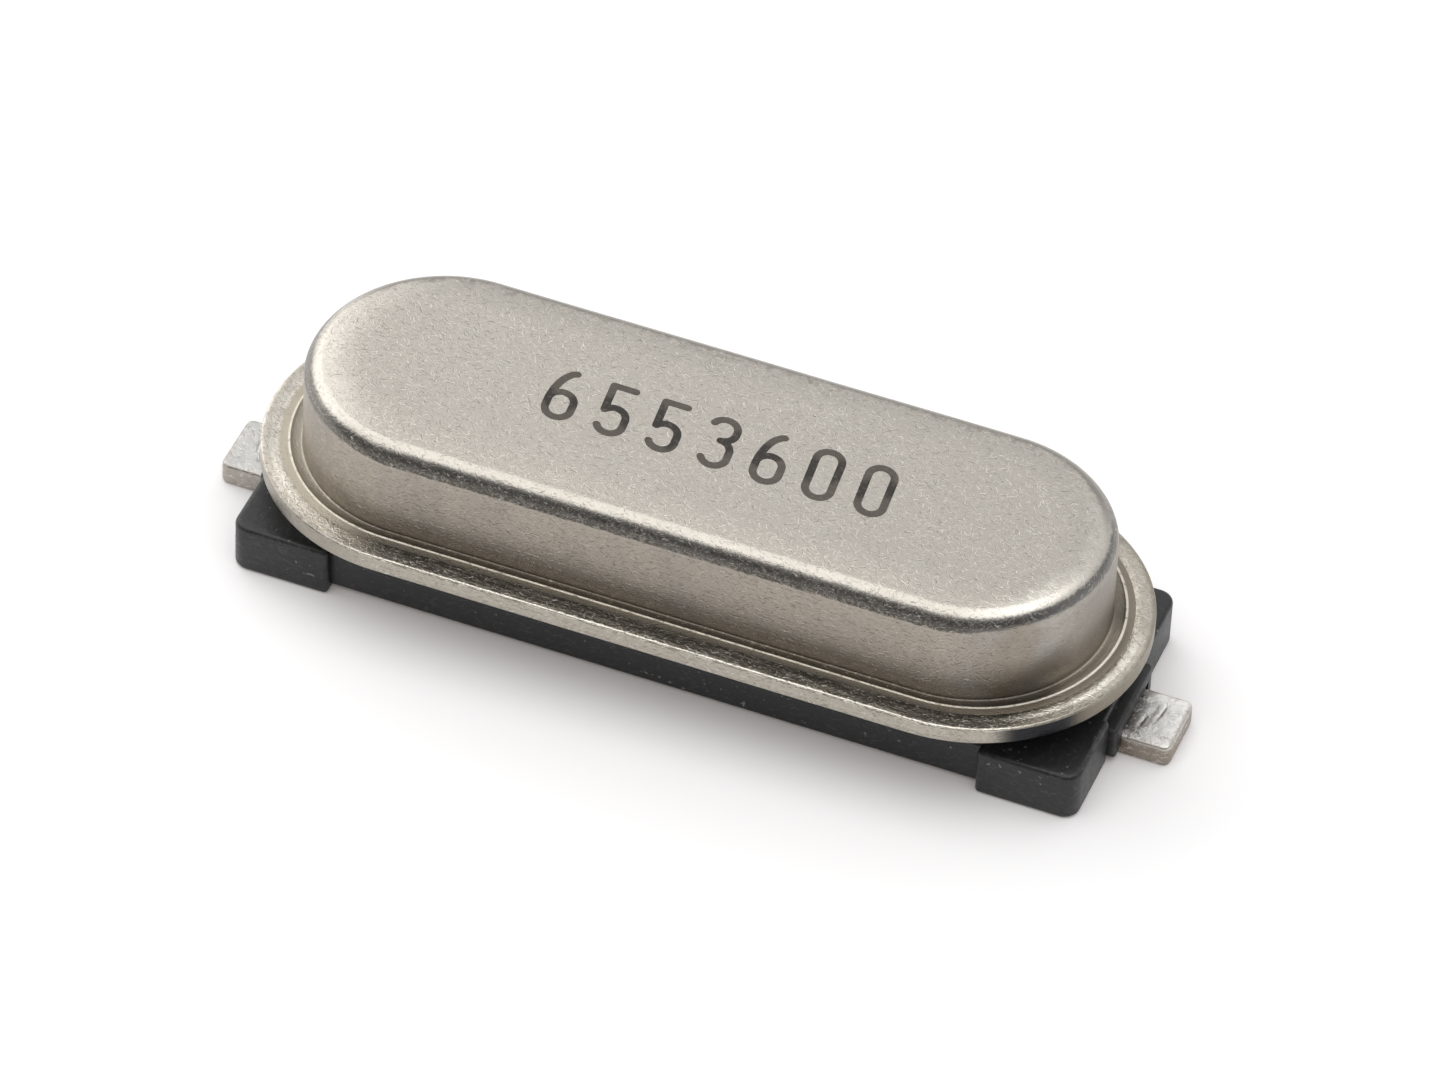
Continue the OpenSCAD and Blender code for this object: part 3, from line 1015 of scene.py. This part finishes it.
def lapped_quartz():
    """Clear quartz with a frosted, finely pitted face."""
    material, shader, position = shader_start("lapped_quartz")
    frost = noise_value(position, 18.0, 3.0, 0.7)
    tone = tint(frost, (0.86, 0.90, 0.93), (0.72, 0.77, 0.81))
    finish_shader(shader, tone, add_share(frost, 0.35, 0.15), frost, 0.001 * mm, metallic=0.0)
    shader.inputs["Transmission Weight"].default_value = 0.75
    shader.inputs["IOR"].default_value = 1.54
    return material


paint(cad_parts["quartz_blank"], lapped_quartz())


# --- Electrodes ------------------------------------------------------------------------------
# Silver is evaporated on both faces of the blank through a mask. A strip of it runs out to the
# clip at one end, the left on the upper face and the right on the lower.


def silver_film():
    """Bright silver with faint cloudy tarnish."""
    material, shader, position = shader_start("silver_film")
    tarnish = ramp(noise_value(position, 3.5, 3.0, 0.6), 0.35, 0.75)
    tone = tint(tarnish, (0.90, 0.89, 0.87), (0.72, 0.67, 0.56))
    finish_shader(shader, tone, add_share(tarnish, 0.2, 0.12), tarnish, 0.0005 * mm)
    return material


film = silver_film()
for node in ("electrode_upper", "electrode_lower"):
    paint(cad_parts[node], film)


# --- Conductive adhesive ---------------------------------------------------------------------
# A drop of silver-filled adhesive at each end holds the blank to its clip and joins the
# electrode strip to it.


def filled_adhesive():
    """Grey cured paste with silver flakes."""
    material, shader, position = shader_start("filled_adhesive")
    flakes = noise_value(position, 30.0, 2.0, 0.7)
    tone = tint(ramp(flakes, 0.4, 0.65), (0.30, 0.30, 0.29), (0.62, 0.62, 0.60))
    rough = ramp(flakes, 0.4, 0.65, 0.6, 0.35)
    finish_shader(shader, tone, rough, flakes, 0.004 * mm, metallic=0.3)
    return material


adhesive_finish = filled_adhesive()
for node in ("adhesive_left", "adhesive_right"):
    paint(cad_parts[node], adhesive_finish)


# --- Marked digits ---------------------------------------------------------------------------
# A plain number is burnt into the can's top in seven thin round-ended digits. It is generic
# and names nothing. Each stroke is a dark skin a few micrometres proud of the sheet.

digit_text = "6553600"
digit_pitch = 0.659 * mm
digit_w = 0.32 * mm
digit_h = 0.79 * mm
stroke_w = 0.098 * mm
row_shift = Vector((0.128 * mm, -0.016 * mm))
row_turn = math.radians(-0.8)
lean = -0.11
skin = 0.002 * mm
stroke_step = 0.0004 * mm


def oval(cx, cy, half_w, half_h, start=0, end=360, steps=40):
    """A rounded stroke path: straight sides with round ends, between two angles."""
    radius = min(half_w, half_h)
    points = []
    for i in range(steps + 1):
        angle = math.radians(start + (end - start) * i / steps)
        c, s = math.cos(angle), math.sin(angle)
        x = cx + radius * c + math.copysign(half_w - radius, c)
        y = cy + radius * s + math.copysign(half_h - radius, s)
        points.append((x, y))
    return points


def digit_strokes(figure):
    """Stroke paths of one digit, centred on the origin, and whether each is a closed ring."""
    w = digit_w / 2
    h = digit_h / 2
    bowl = 0.55 * h
    if figure == "0":
        return [(oval(0, 0, w, h)[:-1], True)]
    if figure == "3":
        upper = oval(0, bowl, w, h - bowl, 155, -88)
        return [(upper, False), (oval(0, bowl - h, w, bowl, 88, -155), False)]
    if figure == "5":
        lower = oval(0, bowl - h, w, bowl, 145, -155)
        corner = (-0.82 * w, h)
        return [([(0.9 * w, h), corner], False), ([corner, lower[0]], False), (lower, False)]
    stem = [(-w, bowl - h)] + [
        (-w + 1.55 * w * (1 - math.cos(a)), bowl - h + (2 * h - bowl) * math.sin(a))
        for a in (math.radians(7.5 * i) for i in range(1, 12))
    ]
    return [(oval(0, bowl - h, w, bowl)[:-1], True), (stem, False)]


def add_stroke(bm, path, closed, centre_x, lift):
    """A flat ribbon with round ends along a path, as a thin closed skin."""
    points = [Vector((x, y)) for x, y in path]
    sides = []
    count = len(points)
    for i, point in enumerate(points):
        before = points[i - 1] if (i or closed) else point
        after = points[(i + 1) % count] if (i < count - 1 or closed) else point
        d_in = (point - before).normalized() if point != before else (after - point).normalized()
        d_out = (after - point).normalized() if after != point else d_in
        along = (d_in + d_out).normalized()
        normal = Vector((-along.y, along.x))
        reach_out = stroke_w / 2 / max(0.35, along.dot(d_out))
        sides.append((point + normal * reach_out, point - normal * reach_out))
    left = [a for a, _ in sides]
    right = [b for _, b in sides]
    top = can_top + skin + lift
    low = can_top - skin

    def place(loop, z):
        placed = []
        for flat in loop:
            slanted = Vector((centre_x + flat.x + lean * flat.y, flat.y))
            spot = Matrix.Rotation(row_turn, 2) @ slanted + row_shift
            placed.append(bm.verts.new((spot.x, spot.y, z)))
        return placed

    if closed:
        rings = [place(left, top), place(right, top), place(right, low), place(left, low)]
        join_rings(bm, [*rings, rings[0]])
        return
    caps = []
    for end, inner in ((points[0], points[1]), (points[-1], points[-2])):
        away = (end - inner).normalized()
        turn = math.degrees(math.atan2(away.y, away.x))
        caps.append([Vector(p) for p in arc(end, stroke_w / 2, turn - 90, turn + 90, 12)[1:-1]])
    loop = right + caps[1] + left[::-1] + caps[0]
    upper = place(loop, top)
    lower = place(loop, low)
    bm.faces.new(upper)
    bm.faces.new(lower)
    join_rings(bm, [upper, lower])


def burnt_skin():
    """Brown-black burnt metal, darkest in bands across the middle of the digits."""
    material, shader, position = shader_start("burnt_skin")
    waver = noise_value(position, 1.2, 2.0, 0.5, stretch=(1.6, 0.6, 1.0))
    fleck = noise_value(position, 22.0, 2.0, 0.6)
    across = parts_of(position)[1]
    off_middle = math_node("ABSOLUTE", math_node("ADD", add_share(waver, 1.1, -0.55), across))
    darkest = fade(off_middle, 0.10, 0.26)
    tone = tint(darkest, (0.082, 0.070, 0.055), (0.014, 0.011, 0.009), 0.85)
    tone = tint(ramp(fleck, 0.5, 0.7), tone, (0.17, 0.15, 0.125), 0.3)
    finish_shader(shader, tone, add_share(fleck, 0.2, 0.42), fleck, 0.001 * mm, metallic=0.0)
    shader.inputs["Specular IOR Level"].default_value = 0.35
    return material


bm = bmesh.new()
for place_in_row, figure in enumerate(digit_text):
    centre_x = (place_in_row - (len(digit_text) - 1) / 2) * digit_pitch
    for layer, (path, closed) in enumerate(digit_strokes(figure)):
        add_stroke(bm, path, closed, centre_x, layer * stroke_step)
digits = finish_mesh("marked_digits", bm, 30)
paint(digits, burnt_skin())
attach(digits, "root")


# --- Table, lamps and camera -----------------------------------------------------------------
# A plain white table under a pale studio sky. A wide lamp hangs overhead and softer ones
# stand behind and on the left. A dark card on the near side gives the metal its dark
# reflections, and lets the light for the table through.

table_half = 1.5
table_z = -0.002 * mm
table_corners = rectangle(-table_half, -table_half, table_half, table_half)
table_mesh = bpy.data.meshes.new("table_top")
table_mesh.from_pydata([(x, y, table_z) for x, y in table_corners], [], [(0, 1, 2, 3)])
table = stand("table_top", table_mesh)
white, white_shader = plain_shader("white_table")
white_shader.inputs["Base Color"].default_value = (0.93, 0.93, 0.93, 1.0)
white_shader.inputs["Roughness"].default_value = 0.8
white_shader.inputs["Specular IOR Level"].default_value = 0.1
white_shader.inputs["Emission Color"].default_value = (1.0, 0.80, 0.68, 1.0)
ray = white.node_tree.nodes.new("ShaderNodeLightPath").outputs
seen = math_node("MAXIMUM", ray["Is Camera Ray"], ray["Is Glossy Ray"])
seen = math_node("MAXIMUM", seen, ray["Is Transmission Ray"])
connect(times(seen, 0.065), white_shader.inputs["Emission Strength"])
paint(table, white)


def towards(azimuth, elevation):
    """The direction at an azimuth round from the front and an elevation, in degrees."""
    a = math.radians(azimuth)
    e = math.radians(elevation)
    return Vector((math.sin(a) * math.cos(e), -math.cos(a) * math.cos(e), math.sin(e)))


def lamp(name, azimuth, elevation, distance, width, depth, radiance):
    """A soft rectangular lamp that points at the part from a direction, with a set radiance."""
    data = bpy.data.lights.new(name, "AREA")
    data.shape = "RECTANGLE"
    data.size = width
    data.size_y = depth
    data.energy = radiance * math.pi * width * depth
    away = towards(azimuth, elevation)
    holder = stand(name, data)
    holder.location = away * distance
    holder.rotation_mode = "QUATERNION"
    holder.rotation_quaternion = away.to_track_quat("Z", "Y")
    holder.visible_camera = False


lamp("overhead_lamp", 0, 84, 0.5, 0.7, 0.62, 1.08)
lamp("rear_lamp", 170, 42, 0.6, 0.7, 0.35, 0.25)
lamp("left_lamp", 248, 32, 0.5, 0.62, 0.36, 1.25)

card_r = 0.42
card_h = 0.34
card_steps = 24
card_mesh = bpy.data.meshes.new("dark_card")
card_curve = arc((0.0, 0.0), card_r, -160, -10, card_steps)
card_spots = [(x, y, z) for x, y in card_curve for z in (0.0, card_h)]
card_faces = [(2 * i, 2 * i + 2, 2 * i + 3, 2 * i + 1) for i in range(card_steps)]
card_mesh.from_pydata(card_spots, [], card_faces)
card = stand("dark_card", card_mesh)
black, black_shader = plain_shader("dark_card")
black_shader.inputs["Base Color"].default_value = (0.10, 0.10, 0.10, 1.0)
black_shader.inputs["Roughness"].default_value = 0.9
paint(card, black)
card.visible_camera = False
card.visible_diffuse = False
card.visible_shadow = False

world = bpy.data.worlds.new("pale_studio")
world.use_nodes = True
sky = world.node_tree.nodes["Background"]
sky.inputs["Color"].default_value = (0.98, 0.985, 1.0, 1.0)
sky.inputs["Strength"].default_value = 0.62
bpy.context.scene.world = world

camera_azimuth = 19.62
camera_elevation = 43.5
camera_roll = math.radians(2.91)
camera_distance = 116.8 * mm
aim = Vector((0.0, 0.0, 2.0 * mm))
frame_right = 0.192 * mm
frame_up = -0.777 * mm
away = towards(camera_azimuth, camera_elevation)
level_right = towards(camera_azimuth + 90, 0)
level_up = away.cross(level_right)
right = math.cos(camera_roll) * level_right + math.sin(camera_roll) * level_up
up = math.cos(camera_roll) * level_up - math.sin(camera_roll) * level_right
turned = Matrix((right, up, away)).transposed()
camera_data = bpy.data.cameras.new("camera")
camera_data.sensor_width = 36.0
camera_data.lens = 247.4
camera_data.clip_start = 0.01
camera_data.clip_end = 10.0
camera = stand("camera", camera_data)
camera.matrix_world = Matrix.Translation(
    aim + camera_distance * away + frame_right * right + frame_up * up
) @ turned.to_4x4()
bpy.context.scene.camera = camera
bpy.context.scene.view_settings.view_transform = "Standard"
